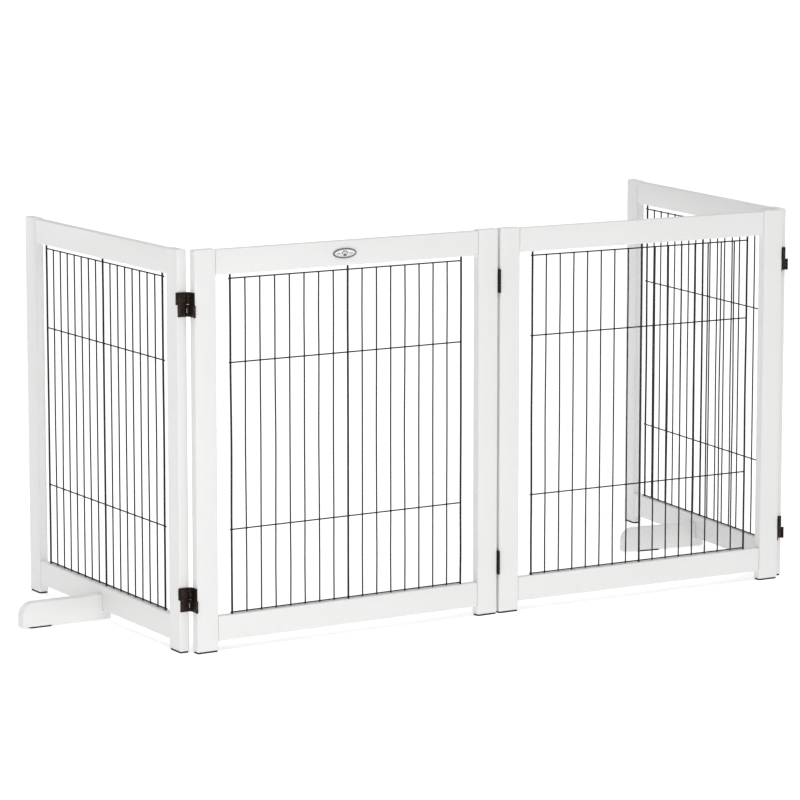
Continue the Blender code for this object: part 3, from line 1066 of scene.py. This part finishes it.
def makeGridPattern():
    chance = random.Random(grid["chance"])
    height = grid["top"] - grid["bottom"]
    levels = [grid["bottom"] + share * height for share in grid["levels"]]
    spans = list(zip(levels, levels[1:]))
    thin = straightWire("thin", grid["thin"], grid["bottom"] - grid["thinEnd"],
                        grid["top"] + grid["thinEnd"])
    thick = straightWire("thick", grid["thick"], bottomRail[1].z - grid["inRail"],
                         topRail[0].z + grid["inRail"])
    uprights, crossWires, beads = [], [], []
    for i in range(grid["wires"]):
        wire = copyOf(thick if i in grid["thickOnes"] else thin, "upright")
        bowWire(wire, spans, chance)
        wire.data.transform(Matrix.Translation((wireX(i), panel["depth"] / 2, 0)))
        uprights.append(wire)
    behind = panel["depth"] / 2 + grid["thin"] - grid["sink"] + grid["cross"]
    start, end = wireX(0) - grid["crossEnd"], wireX(grid["wires"] - 1) + grid["crossEnd"]
    cross = straightWire("cross", grid["cross"], start, end)
    cross.data.transform(Matrix.Rotation(pi / 2, 4, "Y"))
    bead = makeBead()
    for level in levels:
        crossWires.append(copyOf(cross, "cross_wire", Matrix.Translation((0, behind, level))))
        for i in range(grid["wires"]):
            radius = grid["thick"] if i in grid["thickOnes"] else grid["thin"]
            touch = panel["depth"] / 2 + (radius + grid["thin"] - grid["sink"]) / 2
            beads.append(copyOf(bead, "bead", Matrix.Translation((wireX(i), touch, level))))
    discard(thin, thick, cross, bead)
    made = joined("grid", uprights)
    combine(made, [joined("cross_wires", crossWires), joined("beads", beads)], "UNION")
    return softShade(coverWith(made, wireCoat), 50)


def makeGrids():
    pattern = makeGridPattern()
    centre = Vector((panel["width"] / 2, 0, (grid["top"] + grid["bottom"]) / 2))
    # the four grids are one pattern mirrored in four ways, so that no two bow alike
    flips = {1: (1, -1), 2: (1, 1), 3: (-1, 1), 4: (-1, -1)}
    for number, (alongX, alongZ) in flips.items():
        mirror = (Matrix.Translation(centre) @ Matrix.Diagonal((alongX, 1, alongZ, 1))
                  @ Matrix.Translation(-centre))
        node = f"panel_{number}_wire_grid"
        install(copyOf(pattern, f"{node}_fine", mirror), number, node)
    discard(pattern)


makeGrids()
print("wire grids made")


badgeLow, badgeHigh = boxInPanel("badge_plate", 2)
badge = {
    "sides": 72,
    "rim": 1.15 * mm,
    "softRim": 0.3 * mm,
    "groove": 0.35 * mm,
    "grooveDepth": 0.3 * mm,
    "outerSlope": 0.08 * mm,
    "innerSlope": 0.3 * mm,
    "fieldDrop": 0.35 * mm,
    "paw": {
        # middle x, middle z, half width, half height, in mm from the plate's centre
        "palm": (0, -2.4, 3.1, 2.1),
        "toes": ((-4.5, 0.8, 1.2, 1.7), (-1.75, 3.1, 1.25, 1.75),
                 (1.75, 3.1, 1.25, 1.75), (4.5, 0.8, 1.2, 1.7)),
        "bars": ((-11.2, -0.2, 3.6, 0.6), (11.2, -0.2, 3.6, 0.6)),
        "rise": 0.45,
        "lift": 0.05,
        "segments": 24,
        "rings": 12,
    },
}


def makeBadge():
    size = badgeHigh - badgeLow
    centre = (badgeLow + badgeHigh) / 2
    bpy.ops.object.select_all(action="DESELECT")
    bpy.ops.mesh.primitive_cylinder_add(
        vertices=badge["sides"], radius=0.5, depth=1, location=centre, rotation=(pi / 2, 0, 0),
        scale=(size.x, size.z, size.y), end_fill_type="NGON")
    plate = bakePlace(bpy.context.object)
    for finish in (badgeFace, badgeLine):
        plate.data.materials.append(finish)
    roundEdges(plate, badge["softRim"], 3,
               lambda middle, way: abs(way.y) < 0.5 and middle.y < centre.y)
    pick(plate, "FACE", lambda middle, normal: normal.y < -0.99 and middle.y < centre.y)
    bpy.ops.mesh.inset(thickness=badge["rim"])
    bpy.ops.mesh.inset(thickness=badge["outerSlope"], depth=-badge["grooveDepth"])
    bpy.ops.mesh.inset(thickness=badge["groove"])
    bpy.ops.mesh.inset(thickness=badge["innerSlope"],
                       depth=badge["grooveDepth"] - badge["fieldDrop"])
    leave()
    for face in plate.data.polygons:
        # dark rim and groove, bright field
        face.material_index = 1 if len(face.vertices) == 4 else 0
    softShade(plate, 30)
    plate.name = plate.data.name = "badge_plate_fine"
    install(plate, 2, "badge_plate")


def makeBadgePaw():
    # rounded bumps on the field of the badge: a palm and four toes, with a bar on either side
    relief = badge["paw"]
    centre = (badgeLow + badgeHigh) / 2
    field = badgeLow.y + badge["fieldDrop"]
    bumps = []
    for x, z, halfWidth, halfHeight in (relief["palm"], *relief["toes"], *relief["bars"]):
        bpy.ops.object.select_all(action="DESELECT")
        bpy.ops.mesh.primitive_uv_sphere_add(
            segments=relief["segments"], ring_count=relief["rings"], radius=1,
            location=(centre.x + x * mm, field + relief["lift"] * mm, centre.z + z * mm),
            scale=(halfWidth * mm, relief["rise"] * mm, halfHeight * mm))
        bumps.append(bakePlace(bpy.context.object))
    paw = joined("badge_paw", bumps)
    softShade(coverWith(paw, badgeLine), 60)
    install(paw, 2)


makeBadge()
makeBadgePaw()
print("badge made")
